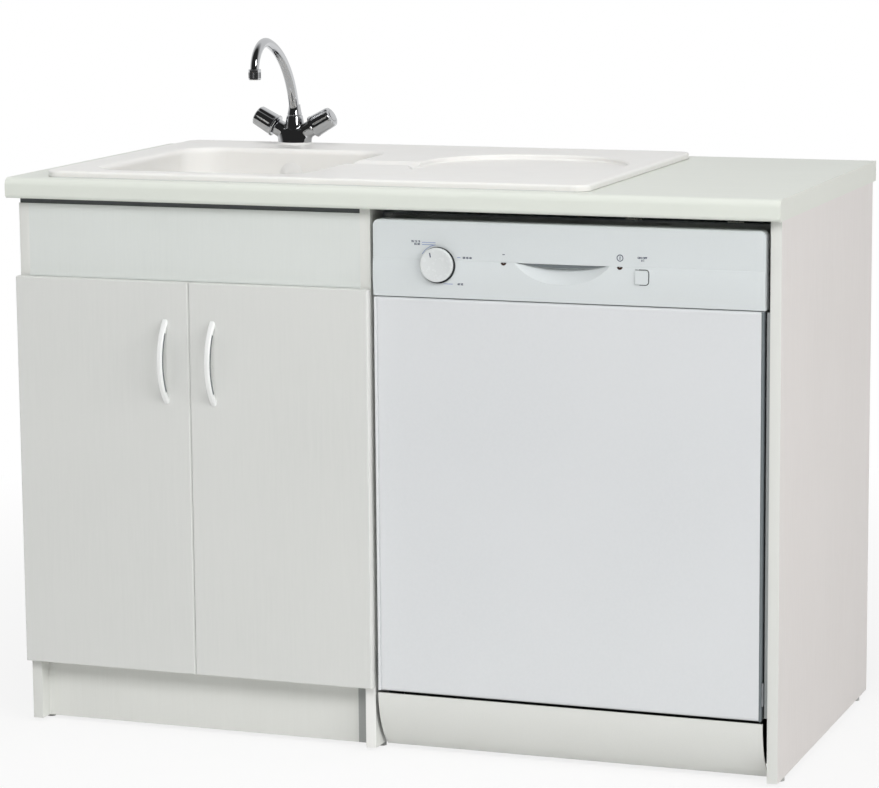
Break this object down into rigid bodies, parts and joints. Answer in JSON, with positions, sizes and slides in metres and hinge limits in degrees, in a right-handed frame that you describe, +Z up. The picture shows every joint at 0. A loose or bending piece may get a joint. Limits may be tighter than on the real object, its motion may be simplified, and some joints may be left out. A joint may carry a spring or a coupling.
{
  "type": "sink base cabinet with dishwasher",
  "caption": "White kitchen base unit: two-door sink cabinet beside a front-loading dishwasher, under one worktop with an inset sink, drainer and swan-neck mixer tap.",
  "frame": {"origin": "middle of the footprint of the whole unit, on the floor", "axes": "+X to the right along the worktop, +Y from the doors toward the wall, +Z up"},
  "size_m": [1.2, 0.6175, 1.039],
  "materials": {
    "white_board": "white melamine-faced board, satin",
    "door_board": "pale grey-white melamine-faced board, satin",
    "worktop_laminate": "white laminate on board, semi-gloss",
    "worktop_edge": "white edge strip",
    "sink_white": "white moulded resin, gloss",
    "handle_white": "white gloss",
    "hinge_steel": "plated steel",
    "tap_chrome": "polished",
    "white_pipe": "white plastic",
    "dark_rubber": "soft",
    "glide_plastic": "moulded",
    "dw_white_metal": "white enamel",
    "dw_white_plastic": "white, semi-gloss",
    "dw_grey_sheet": "galvanised sheet",
    "dw_stainless": "stainless sheet",
    "dw_black_plastic": "moulded",
    "dw_grey_plastic": "moulded",
    "dw_rack_coat": "plastic-coated wire",
    "dw_rail_steel": "stainless",
    "lamp_lens": "tinted lens"
  },
  "bodies": {
    "unit": {"back_rails": "white_board", "bottle_trap": "white_pipe", "divider_panel": "white_board", "door_buffers": "dark_rubber", "dw_base_tray": "dw_black_plastic", "dw_casing": "dw_grey_sheet", "dw_circulation_pump": "dw_black_plastic", "dw_cutlery_basket": "dw_grey_plastic", "dw_feet": "glide_plastic", "dw_fixing_straps": "hinge_steel", "dw_hinge_brackets": "dw_grey_sheet", "dw_kickplate": "dw_white_plastic", "dw_lower_rack": "dw_rack_coat", "dw_rack_rails": "dw_rail_steel", "dw_rack_rollers": "dw_grey_plastic", "dw_spray_feed": "dw_grey_plastic", "dw_sump": "dw_black_plastic", "dw_tub": "dw_stainless", "dw_tub_seal": "dark_rubber", "dw_upper_rack": "dw_rack_coat", "fascia_rail": "white_board", "floor_panel": "white_board", "left_hinge_arms": "hinge_steel", "left_side_panel": "white_board", "overflow_grille": "sink_white", "panel_glides": "glide_plastic", "plinth_board": "white_board", "right_end_panel": "white_board", "right_hinge_arms": "hinge_steel", "sink": "sink_white", "tap_body": "tap_chrome", "tap_fixing": "hinge_steel", "waste_flange": "tap_chrome", "waste_pipe": "white_pipe", "worktop": "worktop_laminate", "worktop_brackets": "hinge_steel", "worktop_end_strips": "worktop_edge", "worktop_seal": "dark_rubber"},
    "left_door": {"left_door": "door_board", "left_handle": "handle_white", "left_hinge_cups": "hinge_steel"},
    "right_door": {"right_door": "door_board", "right_handle": "handle_white", "right_hinge_cups": "hinge_steel"},
    "dishwasher_door": {"dw_door_panel": "dw_white_metal", "dw_door_liner": "dw_stainless", "dw_control_panel": "dw_white_plastic", "dw_indicator_lenses": "lamp_lens", "dw_detergent_box": "dw_grey_plastic"},
    "programme_knob": {"dw_programme_knob": "dw_white_plastic"},
    "power_button": {"dw_power_button": "dw_white_plastic"},
    "detergent_lid": {"dw_detergent_lid": "dw_grey_plastic"},
    "lower_spray_arm": {"dw_lower_spray_arm": "dw_grey_plastic"},
    "upper_spray_arm": {"dw_upper_spray_arm": "dw_grey_plastic"},
    "spout": {"tap_spout": "tap_chrome", "spout_aerator": "tap_chrome"},
    "hot_handle": {"hot_handle": "tap_chrome"},
    "cold_handle": {"cold_handle": "tap_chrome"},
    "strainer": {"strainer_basket": "tap_chrome"}
  },
  "joints": [
    {"name": "left_door_hinge", "type": "hinge", "parent": "unit", "child": "left_door", "pos_m": [-0.583, -0.27775, 0.102], "axis": [0, 0, -1], "range_deg": [0, 90]},
    {"name": "right_door_hinge", "type": "hinge", "parent": "unit", "child": "right_door", "pos_m": [-0.027, -0.27775, 0.102], "axis": [0, 0, 1], "range_deg": [0, 90]},
    {"name": "dishwasher_door_hinge", "type": "hinge", "parent": "unit", "child": "dishwasher_door", "pos_m": [0.28, -0.26325, 0.1375], "axis": [1, 0, 0], "range_deg": [0, 90]},
    {"name": "programme_knob_turn", "type": "hinge", "parent": "dishwasher_door", "child": "programme_knob", "pos_m": [0.087, -0.26925, 0.74], "axis": [0, -1, 0], "continuous": true},
    {"name": "power_button_press", "type": "slide", "parent": "dishwasher_door", "child": "power_button", "axis": [0, 1, 0], "range_m": [0, 0.003], "stiffness_N_per_m": 400, "springref_m": -0.001},
    {"name": "detergent_lid_hinge", "type": "hinge", "parent": "dishwasher_door", "child": "detergent_lid", "pos_m": [0.185, -0.22075, 0.4225], "axis": [-1, 0, 0], "range_deg": [0, 90]},
    {"name": "lower_spray_arm_spin", "type": "hinge", "parent": "unit", "child": "lower_spray_arm", "pos_m": [0.28, 0.01825, 0.16], "axis": [0, 0, 1], "continuous": true},
    {"name": "upper_spray_arm_spin", "type": "hinge", "parent": "unit", "child": "upper_spray_arm", "pos_m": [0.28, 0.01825, 0.452], "axis": [0, 0, 1], "continuous": true},
    {"name": "spout_swivel", "type": "hinge", "parent": "unit", "child": "spout", "pos_m": [-0.351, 0.25175, 0.907], "axis": [0, 0, 1], "range_deg": [-90, 90]},
    {"name": "hot_handle_turn", "type": "hinge", "parent": "unit", "child": "hot_handle", "pos_m": [-0.351, 0.25175, 0.87], "axis": [-0.8746, 0, 0.4848], "range_deg": [0, 180]},
    {"name": "cold_handle_turn", "type": "hinge", "parent": "unit", "child": "cold_handle", "pos_m": [-0.351, 0.25175, 0.87], "axis": [0.8746, 0, 0.4848], "range_deg": [0, 180]},
    {"name": "strainer_lift", "type": "slide", "parent": "unit", "child": "strainer", "axis": [0, 0, 1], "range_m": [0, 0.1]}
  ]
}
